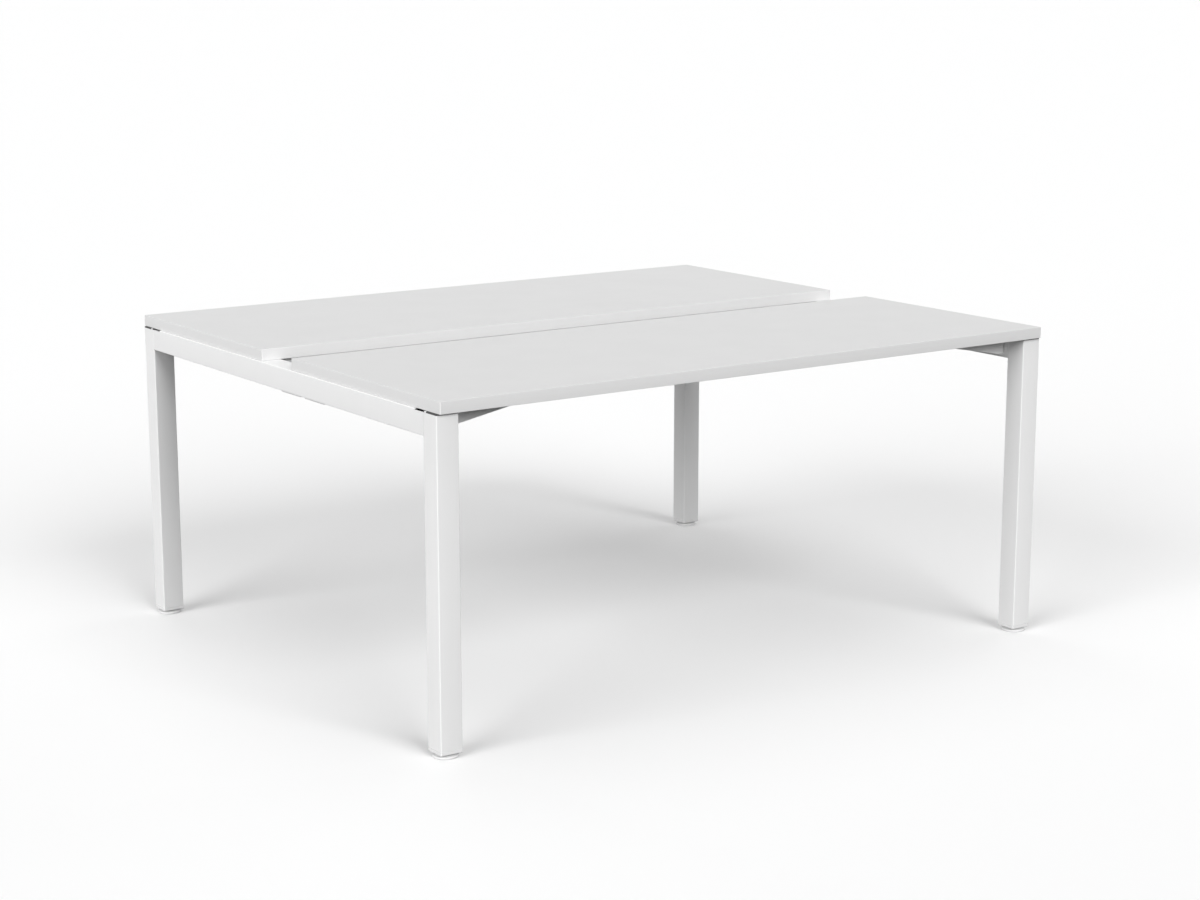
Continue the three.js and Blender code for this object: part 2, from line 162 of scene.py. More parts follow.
# faced board: a soft pearl of about a millimetre, faint clouding, gloss that varies in patches
melamine = {
    "pale": 0.606, "deep": 0.591, "rough": 0.42, "specular": 0.4,
    "pearl": 900, "pearlDetail": 1.5, "pearlRough": 0.04,
    "cloud": 9, "cloudDetail": 4.0, "cloudRough": 0.10,
    "depth": 0.00002, "strength": 0.35,
}


def melamineFinish():
    material, bench = newFinish("worktopMelamine")
    pearl = grain(bench, melamine["pearl"], melamine["pearlDetail"])
    cloud = grain(bench, melamine["cloud"], melamine["cloudDetail"])
    gloss = swing(cloud, melamine["cloudRough"]) + swing(pearl, melamine["pearlRough"])
    return finished(material, bench, {
        "Base Color": blended(bench, cloud, grey(melamine["pale"]), grey(melamine["deep"])),
        "Roughness": melamine["rough"] + gloss,
        "Normal": embossed(bench, pearl, melamine),
        "Specular IOR Level": melamine["specular"],
    })


# extruded strip: fine streaks run along its length
edgingPlastic = {
    "pale": 0.705, "deep": 0.67, "rough": 0.38, "specular": 0.4,
    "fine": 1800, "long": 14, "streakDetail": 3.0, "streakRough": 0.16,
    "speck": 700, "speckDetail": 2.0, "speckShare": 0.6,
    "depth": 0.00003, "strength": 0.3,
}


def edgingFinish(name, lengthAxis):
    material, bench = newFinish(name)
    scales = [edgingPlastic["fine"]] * 3
    scales[lengthAxis] = edgingPlastic["long"]
    streak = grain(bench, scales, edgingPlastic["streakDetail"])
    speck = grain(bench, edgingPlastic["speck"], edgingPlastic["speckDetail"])
    return finished(material, bench, {
        "Base Color": blended(bench, streak, grey(edgingPlastic["pale"]), grey(edgingPlastic["deep"])),
        "Roughness": edgingPlastic["rough"] + swing(streak, edgingPlastic["streakRough"]),
        "Normal": embossed(bench, streak + edgingPlastic["speckShare"] * speck, edgingPlastic),
        "Specular IOR Level": edgingPlastic["specular"],
    })


# baked powder: low orange peel of about three millimetres with a finer skin on it
powderCoat = {
    "pale": 0.81, "deep": 0.785, "rough": 0.33,
    "peel": 330, "peelDetail": 1.0,
    "skin": 1500, "skinDetail": 2.0, "skinShare": 0.15, "skinRough": 0.06,
    "cloud": 12, "cloudDetail": 3.0, "cloudRough": 0.12,
    "depth": 0.00006, "strength": 0.3,
}


def powderFinish():
    material, bench = newFinish("framePowderCoat")
    peel = grain(bench, powderCoat["peel"], powderCoat["peelDetail"])
    skin = grain(bench, powderCoat["skin"], powderCoat["skinDetail"])
    cloud = grain(bench, powderCoat["cloud"], powderCoat["cloudDetail"])
    gloss = swing(cloud, powderCoat["cloudRough"]) + swing(skin, powderCoat["skinRough"])
    return finished(material, bench, {
        "Base Color": blended(bench, cloud, grey(powderCoat["pale"]), grey(powderCoat["deep"])),
        "Roughness": powderCoat["rough"] + gloss,
        "Normal": embossed(bench, peel + powderCoat["skinShare"] * skin, powderCoat),
    })


# moulded plastic with a spark-eroded skin, in two colours
moulding = {
    "spark": 2600, "sparkDetail": 2.0, "sparkRough": 0.1,
    "cloud": 60, "cloudDetail": 3.0, "cloudRough": 0.15,
    "depth": 0.00003, "strength": 0.4,
}
blackMoulding = {"tone": 0.020, "cloudTone": 0.030, "rough": 0.55}
whiteMoulding = {"tone": 0.80, "cloudTone": 0.76, "rough": 0.40}


def mouldedFinish(name, colour):
    material, bench = newFinish(name)
    spark = grain(bench, moulding["spark"], moulding["sparkDetail"])
    cloud = grain(bench, moulding["cloud"], moulding["cloudDetail"])
    gloss = swing(cloud, moulding["cloudRough"]) + swing(spark, moulding["sparkRough"])
    return finished(material, bench, {
        "Base Color": blended(bench, cloud, grey(colour["tone"]), grey(colour["cloudTone"])),
        "Roughness": colour["rough"] + gloss,
        "Normal": embossed(bench, spark, moulding),
    })


# zinc plate: fine spangle in tone and gloss, and drawn marks that run upright
zinc = {
    "pale": 0.68, "paleWarmth": -0.02, "deep": 0.50, "deepWarmth": -0.03, "rough": 0.32,
    "spangle": 700, "spangleDetail": 4.0, "spangleTwist": 0.6, "spangleRough": 0.3,
    "drawn": (2500, 2500, 150), "drawnDetail": 2.0, "drawnRough": 0.1,
    "depth": 0.00002, "strength": 0.25,
}


def zincFinish():
    material, bench = newFinish("zincPlate")
    spangle = grain(bench, zinc["spangle"], zinc["spangleDetail"], zinc["spangleTwist"])
    drawn = grain(bench, zinc["drawn"], zinc["drawnDetail"])
    pale = grey(zinc["pale"], zinc["paleWarmth"])
    deep = grey(zinc["deep"], zinc["deepWarmth"])
    gloss = swing(spangle, zinc["spangleRough"]) + swing(drawn, zinc["drawnRough"])
    return finished(material, bench, {
        "Base Color": blended(bench, spangle, pale, deep),
        "Metallic": 1.0,
        "Roughness": zinc["rough"] + gloss,
        "Normal": embossed(bench, spangle + drawn, zinc),
    })


worktopMelamine = melamineFinish()
edgingAlongX = edgingFinish("edgingAlongX", 0)
edgingAlongY = edgingFinish("edgingAlongY", 1)
framePowder = powderFinish()
blackPlastic = mouldedFinish("blackPlastic", blackMoulding)
whitePlastic = mouldedFinish("whitePlastic", whiteMoulding)
zincPlate = zincFinish()
print("finishes made")


# quads between neighbouring rows and columns; columns run round, rows run round where asked
def gridFaces(rows, cols, wrapRows):
    row = np.arange(rows if wrapRows else rows - 1)[:, None]
    col = np.arange(cols)[None, :]
    nextRow = (row + 1) % rows
    nextCol = (col + 1) % cols
    quads = [row * cols + col, row * cols + nextCol, nextRow * cols + nextCol, nextRow * cols + col]
    return np.stack(quads, axis=-1).reshape(-1, 4)


weldPlaces = 4  # points that agree to so many places of a millimetre are one


# corners that meet become one, a quad that loses a corner becomes a triangle, and the skin is
# turned over where its volume (the sum of its triangles' corner products) comes out negative
def welded(points, quads):
    places = np.round(points, weldPlaces)
    _, first, where = np.unique(places, axis=0, return_index=True, return_inverse=True)
    points = points[first]
    quads = where.ravel()[quads]
    same = quads == np.roll(quads, -1, axis=1)
    lost = same.sum(axis=1)
    whole = quads[lost == 0]
    triangles = quads[lost == 1][~same[lost == 1]].reshape(-1, 3)
    split = np.concatenate([whole[:, :3], whole[:, [0, 2, 3]], triangles])
    a, b, c = points[split].transpose(1, 0, 2) - points.mean(axis=0)
    if np.einsum("ij,ij->", a, np.cross(b, c)) < 0:
        whole, triangles = whole[:, ::-1], triangles[:, ::-1]
    return points, whole, triangles


# a grid of points as a closed skin: its rows meet in a "ring", or they end in a "fan" about the
# middle of the end rows, in a "zip" between facing points of the end rows, or in a "pole"
def shell(points, close):
    cols = points.shape[1]
    if close == "fan":
        middles = points[[0, -1]].mean(axis=1, keepdims=True)
        points = np.concatenate([middles[:1].repeat(cols, 1), points, middles[1:].repeat(cols, 1)])
    rows = len(points)
    quads = gridFaces(rows, cols, close == "ring")
    if close == "zip":
        i = np.arange(cols // 2 - 1)
        cap = np.stack([i, i + 1, cols - 2 - i, cols - 1 - i], axis=-1)
        quads = np.concatenate([quads, cap[:, ::-1], cap + (rows - 1) * cols])
    return welded(points.reshape(-1, 3), quads)


creaseAngle = math.radians(35)


# one object made of closed skins, which rides on a body and stands in for the CAD nodes named
def piece(name, shells, finish, slot, body, *nodes):
    starts = np.cumsum([0] + [len(points) for points, _, _ in shells[:-1]])
    points = np.concatenate([skin[0] for skin in shells]) * mm
    quads = np.concatenate([skin[1] + start for skin, start in zip(shells, starts)])
    triangles = np.concatenate([skin[2] + start for skin, start in zip(shells, starts)])
    mesh = bpy.data.meshes.new(name)
    mesh.from_pydata(points.tolist(), [], quads.tolist() + triangles.tolist())
    mesh.polygons.foreach_set("use_smooth", np.ones(len(mesh.polygons), bool))
    mesh.set_sharp_from_angle(angle=creaseAngle)
    mesh.materials.append(finish)
    made = bpy.data.objects.new(name, mesh)
    scene.collection.objects.link(made)
    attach(made, body)
    if nodes:
        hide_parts(*nodes)


# a CAD node that keeps its own mesh takes a finish
def dress(node, finish):
    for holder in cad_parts[node].material_slots:
        holder.material = finish


# square with round corners: four quarter arcs, counter-clockwise, joined by straight flats
def roundedLoop(size, radius, flatSteps=0):
    angles = np.linspace(0, np.pi / 2, fineness["corner"]) + np.arange(4)[:, None] * np.pi / 2
    centres = (size / 2 - radius) * np.array([[1, 1], [-1, 1], [-1, -1], [1, -1]])
    arcs = centres[:, None] + radius * np.stack([np.cos(angles), np.sin(angles)], axis=-1)
    share = np.linspace(0, 1, flatSteps + 2)[1:-1, None]
    flats = arcs[:, -1:] * (1 - share) + np.roll(arcs[:, :1], -1, axis=0) * share
    return np.concatenate([arcs, flats], axis=1).reshape(-1, 2)


# section of a folded sheet: its middle line runs through the points with an arc at each bend, and
# its two skins lie half a thickness to the left and, coming back, to the right
def foldedLoop(points, thickness, bend, arcSteps=fineness["bend"]):
    points = np.asarray(points, float)
    along = np.diff(points, axis=0)
    along /= np.linalg.norm(along, axis=1)[:, None]
    normals = np.stack([-along[:, 1], along[:, 0]], axis=-1)
    radius = bend + thickness / 2
    middle, across = [points[:1]], [normals[:1]]
    for corner, before, after, normal in zip(points[1:-1], along, along[1:], normals):
        turn = math.atan2(before[0] * after[1] - before[1] * after[0], before @ after)
        inward = math.copysign(radius, turn)
        centre = corner - before * radius * math.tan(abs(turn) / 2) + normal * inward
        angle = np.linspace(0, turn, arcSteps)[:, None]
        turned = normal * np.cos(angle) + np.array([-normal[1], normal[0]]) * np.sin(angle)
        middle.append(centre - inward * turned)
        across.append(turned)
    middle = np.concatenate(middle + [points[-1:]])
    half = np.concatenate(across + [normals[-1:]]) * thickness / 2
    return np.concatenate([middle + half, (middle - half)[::-1]])


# rows of section loops set at stations along one axis; axes names where the loop's two
# coordinates and the station go
def carried(loops, stations, axes):
    loops = np.broadcast_to(loops, (len(stations),) + np.shape(loops)[-2:])
    points = np.empty(loops.shape[:2] + (3,))
    points[..., axes[0]] = loops[..., 0]
    points[..., axes[1]] = loops[..., 1]
    points[..., axes[2]] = np.asarray(stations, float)[:, None]
    return points


# angles of the columns round a turned piece
def turnAngles(cols):
    return np.arange(cols) * 2 * np.pi / cols


# rings about an axis: a row has one radius, or one for each column, and a height over the seat
def rings(seat, axis, radii, heights, cols=fineness["turn"]):
    axis = np.asarray(axis, float)
    across = np.roll(axis, 1)
    angle = turnAngles(cols)[:, None]
    spokes = np.cos(angle) * across + np.sin(angle) * np.cross(axis, across)
    radii = np.stack([np.broadcast_to(radius, cols) for radius in radii])
    return np.asarray(seat) + radii[..., None] * spokes + np.asarray(heights)[:, None, None] * axis


# worktops: the faced boards, and the strips round them
edging = {"thickness": 2.0, "arris": 0.5, "corner": 2.2, "seam": 0.1, "joint": 0.6, "arcSteps": 9}


# inset and height of the strip's section: flat outer face, quarter-round arrises, and a back whose
# edges are eased where the strip meets the board
def edgingSection(low, high):
    quarter = np.linspace(0, np.pi / 2, edging["arcSteps"])
    arris, joint, back = edging["arris"], edging["joint"], edging["thickness"]
    foot, brow = arris * (1 - np.sin(quarter)), arris * (1 - np.cos(quarter))
    inset = np.concatenate([[back, back - joint], foot, brow, [back - joint, back]])
    height = np.concatenate([[low + joint, low], low + brow, high - foot, [high, high - joint]])
    return inset, height


# a strip goes round part of one corner, along its side and round part of the next: each point
# lies its inset within the corner's arc, and its end angle puts the end in one flat plane
def edgingStrip(half, low, high, long):
    inset, height = edgingSection(low, high)
    corner, thickness = edging["corner"], edging["thickness"]
    reach = corner - thickness - (0 if long else edging["seam"])
    tip = np.arcsin(np.clip(reach / (corner - inset), 0, 1))
    share = np.linspace(0, 1, edging["arcSteps"])[:, None]
    if long:
        first = np.pi + tip + (np.pi / 2 - tip) * share
        second = 1.5 * np.pi + (np.pi / 2 - tip) * share
        arms = [(-1, -1, first), (1, -1, second)]
    else:
        arms = [(-1, 1, np.pi - tip * (1 - share)), (-1, -1, np.pi + tip * share)]
    rows = []
    for signX, signY, angle in arms:
        x = signX * (half[0] - corner) + (corner - inset) * np.cos(angle)
        y = signY * (half[1] - corner) + (corner - inset) * np.sin(angle)
        rows.append(np.stack([x, y, np.broadcast_to(height, x.shape)], axis=-1))
    points = np.concatenate(rows)
    across = 1 if long else 0
    points[..., across] = np.minimum(points[..., across], thickness - half[across])
    return points


for side in sides:
    boxes = [nodeBox(f"edging_{side}_{strip}") for strip in ("near", "far")]
    low, high = boxes[0][0], boxes[1][1]
    half = (high - low)[:2] / 2
    for strip, long, turn, finish in (
        ("near", True, 1, edgingAlongX),
        ("far", True, -1, edgingAlongX),
        ("left", False, 1, edgingAlongY),
        ("right", False, -1, edgingAlongY),
    ):
        points = edgingStrip(half, low[2], high[2], long) * (turn, turn, 1) + planMiddle(low, high)
        node = f"edging_{side}_{strip}"
        piece(f"strip_{side}_{strip}", [shell(points, "fan")], finish, "worktop_edging", "frame", node)
    dress(f"worktop_{side}", worktopMelamine)
print("worktops edged")


# frame: square tube legs and end rails
tube = {
    "wall": 2.0, "radius": 2.0, "soft": 0.3, "notchLength": 33.0, "notchDepth": 3.0, "endPlate": 5.0,
    "tongue": 6.4, "tongueFromRail": 5.5, "tongueHeight": 2.8,
}


# tube: out along the outer skin and back along the inner skin, with its end edges broken; a tongue
# stands on each side wall and goes up through the cap
def legShells(low, high, sideSign):
    size, wall, radius, soft = high[0] - low[0], tube["wall"], tube["radius"], tube["soft"]
    top = high[2] - tube["tongueHeight"]
    outer = roundedLoop(size, radius)
    eased = roundedLoop(size - 2 * soft, radius - soft)
    inner = roundedLoop(size - 2 * wall, radius - wall)
    loops = np.stack([eased, outer, outer, eased, inner, inner])
    stations = [low[2], low[2] + soft, top - soft, top, top, low[2]]
    middle = planMiddle(low, high)
    shells = [shell(carried(loops, stations, (0, 1, 2)) + middle, "ring")]
    start = tube["tongueFromRail"] - size / 2
    for wallSign in (-1, 1):
        x = wallSign * np.array([size / 2 - wall, size / 2])
        y = sideSign * np.array([start, start + tube["tongue"]])
        loop = [(x[0], y[0]), (x[1], y[0]), (x[1], y[1]), (x[0], y[1])]
        shells.append(shell(carried(loop, [top - soft, high[2]], (0, 1, 2)) + middle, "fan"))
    return shells


# rail: a tube between the notches, a channel under each notch, and a plate that closes each end
def railShells(low, high):
    size, wall, radius, soft = high[0] - low[0], tube["wall"], tube["radius"], tube["soft"]
    middle = (low + high) / 2
    place = np.array([middle[0], 0, middle[2]])
    plate = high[1] - tube["endPlate"]
    notch = high[1] - tube["notchLength"]
    outer = roundedLoop(size, radius)
    inner = roundedLoop(size - 2 * wall, radius - wall)
    eased = roundedLoop(size - 2 * soft, radius - soft)
    side = (size - wall) / 2
    brim = size / 2 - tube["notchDepth"]
    plateLoops = np.stack([outer, outer, eased])
    plateLoops[..., 1] = np.minimum(plateLoops[..., 1], brim)
    path = [(-side, brim), (-side, -side), (side, -side), (side, brim)]
    channelLoop = foldedLoop(path, wall, radius - wall, fineness["corner"])
    tubeLoops = np.stack([outer, outer, inner, inner])
    tubeRows = carried(tubeLoops, [-notch, notch, notch, -notch], (0, 2, 1))
    shells = [shell(tubeRows + place, "ring")]
    for sign in (-1, 1):
        channel = carried(channelLoop, [sign * notch, sign * plate], (0, 2, 1))
        block = carried(plateLoops, [sign * plate, sign * (high[1] - soft), sign * high[1]], (0, 2, 1))
        shells += [shell(channel + place, "zip"), shell(block + place, "fan")]
    return shells


for end in ends:
    low, high = nodeBox(f"rail_{end}")
    piece(f"end_rail_{end}", railShells(low, high), framePowder, "powder_coat", "frame", f"rail_{end}")
for corner, sign in corners.items():
    shells = legShells(*nodeBox(f"leg_{corner}"), sign[1])
    piece(f"post_{corner}", shells, framePowder, "powder_coat", "frame", f"leg_{corner}")
    dress(f"leg_cap_{corner}", blackPlastic)
    dress(f"nut_plate_{corner}", zincPlate)
    dress(f"foot_bush_{corner}", zincPlate)
    for level in ("lower", "upper"):
        dress(f"frame_bolt_{corner}_{level}", zincPlate)
print("legs and rails drawn")


# small fasteners
panScrew = {"radius": 4.2, "height": 2.7, "skirt": 0.7, "depth": 1.6, "arm": 2.4, "half": 0.55}
buttonBolt = {"radius": 5.2, "height": 3.2, "skirt": 0.5, "depth": 2.0, "key": 4.0}
nut = {"flats": 10.0, "height": 5.0, "bore": 2.6, "ease": 0.6, "screwEnd": 1.0}
washer = {"radius": 6.0, "height": 1.2}
driveTaper = 0.8  # how wide a recess is at its bottom, as a share of its mouth
leastSine = 1e-6  # keeps the middle of a cross's arm from dividing by nothing


# hexagon: half the distance across flats over the cosine of the angle off the nearest flat
def hexRadius(acrossFlats):
    angle = turnAngles(fineness["turn"])
    return acrossFlats / 2 / np.cos((angle + np.pi / 6) % (np.pi / 3) - np.pi / 6)


# cross recess: the nearer of an arm's end and an arm's side
def crossRadius(reach, half):
    angle = turnAngles(fineness["turn"])
    off = np.abs((angle + np.pi / 4) % (np.pi / 2) - np.pi / 4)
    return np.minimum(reach / np.cos(off), half / np.maximum(np.sin(off), leastSine))


# head: from the bottom of the drive out to its mouth, over a domed crown, down the skirt to the seat
def drivenHead(seat, axis, drive, head):
    share = np.linspace(0, 1, fineness["crown"])
    radius, height, skirt = head["radius"], head["height"], head["skirt"]
    crown = drive + (radius - drive) * np.sin(share * np.pi / 2)[:, None]
    fall = skirt + (height - skirt) * np.cos(share * np.pi / 2)
    bottom = height - head["depth"]
    radii = [0, driveTaper * drive, *crown, radius, 0]
    heights = [bottom, bottom, *fall, 0, 0]
    return shell(rings(seat, axis, radii, heights), "pole")


def panHead(seat, axis):
    return drivenHead(seat, axis, crossRadius(panScrew["arm"], panScrew["half"]), panScrew)


def buttonHead(seat, axis):
    return drivenHead(seat, axis, hexRadius(buttonBolt["key"]), buttonBolt)


# nut on a washer: chamfered hexagon with the end of the screw standing out of its bore
def nutOnWasher(seat, axis):
    flats = hexRadius(nut["flats"])
    eased = np.minimum(flats, nut["flats"] / 2)
    base, top = washer["height"], washer["height"] + nut["height"]
    tip = top + nut["screwEnd"]
    radii = [0, washer["radius"], washer["radius"], eased, flats, flats, eased, nut["bore"], nut["bore"], 0]
    heights = [0, 0, base, base, base + nut["ease"], top - nut["ease"], top, top, tip, tip]
    return shell(rings(seat, axis, radii, heights), "pole")


# support brackets
bracket = {
    "sheet": 2.5, "bend": 2.5, "tip": 7.0, "flat": 17.5, "relief": 6.0,
    "screwPitch": 70.0, "boltPitch": 18.0,
}


# arm: the flange and web of a folded angle, whose web is cut to a taper along the arm;
# heel: the web folded round on to the rail, with a relief slot under the flange
def bracketShells(low, high, sign):
    sheet, bend = bracket["sheet"], bracket["bend"]
    half = sheet / 2
    join = high[0] - bracket["relief"]
    stations = np.array([low[0], high[0] - bracket["flat"], join])
    foot = np.array([high[2] - bracket["tip"], low[2], low[2]])
    web = high[1] - half
    loop = foldedLoop([(web, low[2]), (web, high[2] - half), (low[1], high[2] - half)], sheet, bend)
    loops = np.repeat(loop[None], len(stations), axis=0)
    loops[:, [0, -1], 1] = foot[:, None]
    arm = carried(loops, stations, (1, 2, 0))
    fold = foldedLoop([(join, web), (high[0] - half, web), (high[0] - half, low[1])], sheet, bend)
    heel = carried(fold, [low[2], high[2] - sheet - bend], (0, 1, 2))
    return [shell(arm * sign, "zip"), shell(heel * sign, "zip")]


low, high = nodeBox("support_bracket_rear_right")
flangeMiddle = (low[1] + high[1] - bracket["sheet"]) / 2
flangeUnder = high[2] - bracket["sheet"]
screwX = [low[0] + bracket["screwPitch"] * pitches for pitches in (0.5, 1.5)]
heelFace = high[0] - bracket["sheet"]
boltMiddle = (low[2] + flangeUnder) / 2
boltZ = [boltMiddle + bracket["boltPitch"] * pitches for pitches in (-0.5, 0.5)]
for corner, sign in corners.items():
    shells = bracketShells(low, high, sign)
    node = f"support_bracket_{corner}"
    piece(f"bracket_{corner}", shells, framePowder, "powder_coat", "frame", node)
    heads = [panHead((x, flangeMiddle, flangeUnder) * sign, (0, 0, -1)) for x in screwX]
    piece(f"bracket_screws_{corner}", heads, zincPlate, "zinc_steel", "frame")
    heads = [buttonHead((heelFace, flangeMiddle, z) * sign, (-sign[0], 0, 0)) for z in boltZ]
    piece(f"bracket_bolts_{corner}", heads, zincPlate, "zinc_steel", "frame")
print("brackets folded")


# cable troughs and their cleats
troughSheet = {"thickness": 1.5, "bend": 2.0, "lip": 45.0, "flange": 35.0, "screws": 5, "screwSpan": 1280.0}
cleatSheet = {"thickness": 3.0, "bend": 3.0, "lap": 50.0, "boltShares": (1 / 3, 2 / 3)}

low, high = nodeBox("cable_trough_rear")
sheetHalf = troughSheet["thickness"] / 2
wall = high[1] - troughSheet["flange"] - sheetHalf
wallOutside = wall + sheetHalf
floorLevel = low[2] + sheetHalf
section = foldedLoop(
    [
        (low[1] + sheetHalf, low[2] + troughSheet["lip"]),
        (low[1] + sheetHalf, floorLevel),
        (wall, floorLevel),
        (wall, high[2] - sheetHalf),
        (high[1], high[2] - sheetHalf),
    ],
    troughSheet["thickness"],
    troughSheet["bend"],
)
screwX = np.linspace(-0.5, 0.5, troughSheet["screws"]) * troughSheet["screwSpan"]
screwY = (wallOutside + high[1] + troughSheet["bend"]) / 2
flangeUnder = high[2] - troughSheet["thickness"]
for side, sideSign in sides.items():
    points = carried(section, [low[0], high[0]], (1, 2, 0)) * (1, sideSign, 1)
    node = f"cable_trough_{side}"
    piece(f"trough_{side}", [shell(points, "zip")], framePowder, "powder_coat", "frame", node)
    heads = [panHead((x, sideSign * screwY, flangeUnder), (0, 0, -1)) for x in screwX]
    piece(f"trough_screws_{side}", heads, zincPlate, "zinc_steel", "frame")

low, high = nodeBox("trough_cleat_rear_right")
thickness = cleatSheet["thickness"]
half = thickness / 2
fold = foldedLoop(
    [(low[0], high[1] - half), (high[0] - half, high[1] - half), (high[0] - half, low[1])],
    thickness,
    cleatSheet["bend"],
)
level = (low[2] + high[2]) / 2
railFace, wallFace = high[0] - thickness, high[1] - thickness
wallX = [low[0] + cleatSheet["lap"] * share for share in cleatSheet["boltShares"]]
railY = [low[1] + (wallFace - low[1]) * share for share in cleatSheet["boltShares"]]
for corner, sign in corners.items():
    points = carried(fold, [low[2], high[2]], (0, 1, 2)) * sign
    node = f"trough_cleat_{corner}"
    piece(f"cleat_{corner}", [shell(points, "zip")], framePowder, "powder_coat", "frame", node)
    toRail = [buttonHead((railFace, y, level) * sign, (-sign[0], 0, 0)) for y in railY]
    toWall = [buttonHead((x, wallFace, level) * sign, (0, -sign[1], 0)) for x in wallX]
    nuts = [nutOnWasher((x, wallOutside, level) * sign, (0, sign[1], 0)) for x in wallX]
    piece(f"cleat_bolts_{corner}", toRail + toWall + nuts, zincPlate, "zinc_steel", "frame")
print("troughs and cleats folded")


# levelling feet
insert = {
    "flange": 7.6, "bevel": 0.8, "seam": 1.2, "radius": 2.0, "flatSteps": 15,
    "recess": 10.25, "recessDepth": 2.1, "bore": 7.75, "boss": 10.5,
    "plug": 44.0, "plugRadius": 1.2, "wall": 2.5, "fin": 45.6, "finHeight": 1.2, "fins": 2,
}


# plug: up the bore's mouth, out under the flange, up its bevelled side to the seam under the leg and
# up the finned plug, then down inside the plug and up the boss to the bore again
def insertRows(low, high):
    def square(size, radius):
        return roundedLoop(size, radius, insert["flatSteps"])

    size, bevel, radius, seam = high[0] - low[0], insert["bevel"], insert["radius"], insert["seam"]
    whole, eased = square(size, radius), square(size - 2 * bevel, radius - bevel)
    sunk = square(size - 2 * seam, radius - seam)
    plug, fin = square(insert["plug"], insert["plugRadius"]), square(insert["fin"], insert["plugRadius"])
    hollow = square(insert["plug"] - 2 * insert["wall"], insert["plugRadius"])
    around = whole / np.linalg.norm(whole, axis=1)[:, None]
    bore, recess, boss = (insert[name] * around for name in ("bore", "recess", "boss"))
    bottom, top = low[2], high[2]
    flange = bottom + insert["flange"]
    mouth = bottom + insert["recessDepth"]
    rows = [
        (bore, mouth), (recess, mouth), (recess, bottom),
        (eased, bottom), (whole, bottom + bevel),
        (whole, flange - seam), (sunk, flange - seam), (sunk, flange), (plug, flange),
    ]
    pitch = (top - flange - insert["finHeight"]) / insert["fins"]
    for i in range(insert["fins"]):
        level = flange + pitch * (i + 1)
        rows += [(plug, level), (fin, level), (fin, level + insert["finHeight"])]
    rows += [(hollow, top), (hollow, flange), (boss, flange), (boss, top), (bore, top)]
    loops = np.stack([loop for loop, _ in rows])
    return carried(loops, [height for _, height in rows], (0, 1, 2)) + planMiddle(low, high)


pad = {"rim": 1.4, "hub": 9.9, "mouth": 3.8, "lip": 0.8, "socket": 4.6, "floor": 2.0, "cols": 96}


# pad: flat base, rounded rim, shallow cone up to the hub, then the snap socket of the pivot
def padRows(low, high):
    radius, height, rim = (high[0] - low[0]) / 2, high[2] - low[2], pad["rim"]
    quarter = np.linspace(0, np.pi / 2, fineness["crown"])
    brim = height - rim  # where the rounded rim ends
    ease = rim / 4  # the cone starts this much over the rim and ends as much under the hub
    under = height - pad["lip"]
    radii = [
        0, *(radius - rim + rim * np.sin(quarter)), *(radius - rim + rim * np.cos(quarter)),
        radius - 2 * rim, pad["hub"] + rim, pad["hub"],
        pad["mouth"], pad["mouth"], pad["socket"], pad["socket"], 0,
    ]
    heights = [
        0, *(rim * (1 - np.cos(quarter))), *(brim - rim + rim * np.sin(quarter)),
        brim + ease, height - ease, height,
        height, under, under, pad["floor"], pad["floor"],
    ]
    return rings(planMiddle(low, high, low[2]), (0, 0, 1), radii, heights, pad["cols"])


stem = {
    "pitch": 1.5, "depth": 0.9, "collar": 17.0, "ease": 0.6, "collarHeight": 3.0, "collarRise": 4.0,
    "neck": 3.6, "head": 4.4, "headHeight": 2.8, "radius": 5.0, "chamfer": 1.2,
    "turnSteps": 8, "threadRise": 0.2,
}


# screw: the radius falls from crest to root as a triangle wave of height in pitches less the
# turn's share, so the crest climbs one pitch a turn; it fades out into the collar and the tip
def stemRows(low, high):
    turn = np.arange(fineness["turn"]) / fineness["turn"]
    flats = hexRadius(stem["collar"])
    eased = np.minimum(flats, stem["collar"] / 2)
    head, neck, radius, ease = stem["head"], stem["neck"], stem["radius"], stem["ease"]
    headTop, collar = stem["headHeight"], stem["collarRise"]
    collarTop = collar + stem["collarHeight"]
    top = high[2] - low[2]
    heights = np.arange(collarTop + stem["threadRise"], top, stem["pitch"] / stem["turnSteps"])
    wave = np.abs((heights[:, None] / stem["pitch"] - turn) % 1 - 0.5) * 2
    fade = np.clip((heights - collarTop) / stem["pitch"], 0, 1)[:, None]
    screw = radius - stem["depth"] * wave * fade
    screw = np.minimum(screw, radius - stem["chamfer"] + (top - heights)[:, None])
    radii = [
        0, head, head, neck, neck, eased, flats, flats, eased, radius,
        *screw, screw[-1].min(), 0,
    ]
    levels = [
        0, 0, headTop, headTop, collar, collar, collar + ease, collarTop - ease, collarTop, collarTop,
        *heights, top, top,
    ]
    return rings(planMiddle(low, high, low[2]), (0, 0, 1), radii, levels)


for corner in corners:
    node = f"foot_insert_{corner}"
    skin = shell(insertRows(*nodeBox(node)), "ring")
    piece(f"insert_{corner}", [skin], whitePlastic, "white_plastic", "frame", node)
    # the pad and the stem each ride on the body of their node's name
    node = f"foot_pad_{corner}"
    skin = shell(padRows(*nodeBox(node)), "pole")
    piece(f"pad_{corner}", [skin], whitePlastic, "white_plastic", node, node)
    node = f"foot_stem_{corner}"
    skin = shell(stemRows(*nodeBox(node)), "pole")
    piece(f"stem_{corner}", [skin], zincPlate, "zinc_steel", node, node)
print("levelling feet turned")


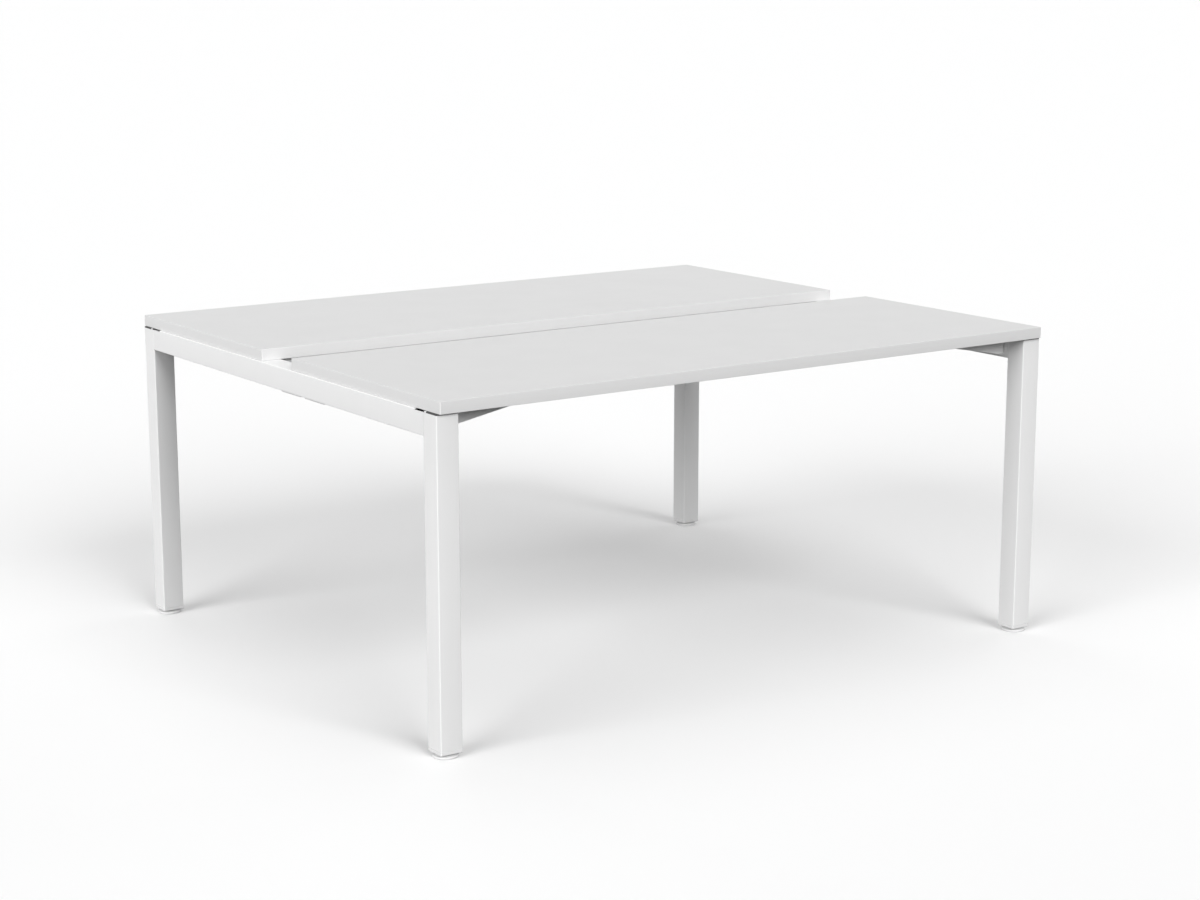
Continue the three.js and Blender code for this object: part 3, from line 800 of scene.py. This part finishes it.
# floor, dome and softboxes: the floor's tone is "seen" with its own "glow" where a ray shows it, and
# "bounce" where it lights the desk, and the dome is white where it shows and lights the desk by "dome";
# a softbox stands so many degrees round from the front to the right and so many up, looks so many
# degrees wide, is so bright, and may show in the gloss
studio = {
    "floorHalf": 150.0, "bounce": 0.04, "seen": 0.83, "glow": 0.10, "dome": 0.17,
    "softboxes": {
        "leftBox": (-76, 20, 42, 0.885, True),
        "frontBox": (-1, 30.5, 36, 0.70, True),
        "overhead": (175, 80, 60, 0.17, False),
        "rightFill": (100, 8, 40, 0.27, False),
        "rearFill": (175, 8, 40, 0.27, False),
    },
}
white = grey(1.0)


# whether the ray is one that shows the floor or dome: straight, mirrored or seen through
def seenRay(bench):
    kinds = ("Camera", "Glossy", "Transmission")
    camera, mirror, through = (bench.add("LightPath", {}, {}, f"Is {kind} Ray") for kind in kinds)
    return bench.add("Math", {"operation": "ADD", "use_clamp": True}, {0: camera + mirror, 1: through})


floorFinish, bench = newFinish("paleFloor")
lit = bench.add("BsdfDiffuse", {}, {"Color": grey(studio["seen"])})
glow = bench.add("Emission", {}, {"Color": white, "Strength": studio["glow"]})
shown = bench.add("AddShader", {}, {0: lit, 1: glow})
bounce = bench.add("BsdfDiffuse", {}, {"Color": grey(studio["bounce"])})
mixed = bench.add("MixShader", {}, {0: seenRay(bench), 1: bounce, 2: shown})
bench.add("OutputMaterial", {}, {"Surface": mixed})
reach = studio["floorHalf"]
outline = [(-reach, -reach, 0), (reach, -reach, 0), (reach, reach, 0), (-reach, reach, 0)]
floorMesh = bpy.data.meshes.new("floor")
floorMesh.from_pydata(outline, [], [(0, 1, 2, 3)])
floorMesh.materials.append(floorFinish)
floor = bpy.data.objects.new("floor", floorMesh)
scene.collection.objects.link(floor)

world = bpy.data.worlds.new("whiteDome")
world.use_nodes = True
world.node_tree.nodes.clear()
bench = Wire(world.node_tree)
strength = studio["dome"] + (1 - studio["dome"]) * seenRay(bench)
sky = bench.add("Background", {}, {"Color": white, "Strength": strength})
bench.add("OutputWorld", {}, {"Surface": sky})
scene.world = world

for name, (turn, rise, width, level, inGloss) in studio["softboxes"].items():
    lamp = bpy.data.lights.new(name, "SUN")
    lamp.angle = math.radians(width)
    lamp.energy = level * math.pi  # at level 1 a white surface that faces the lamp comes out white
    softbox = bpy.data.objects.new(name, lamp)
    softbox.rotation_euler = np.radians([90 - rise, 0, turn])
    softbox.visible_glossy = inGloss
    scene.collection.objects.link(softbox)
print("studio lit")
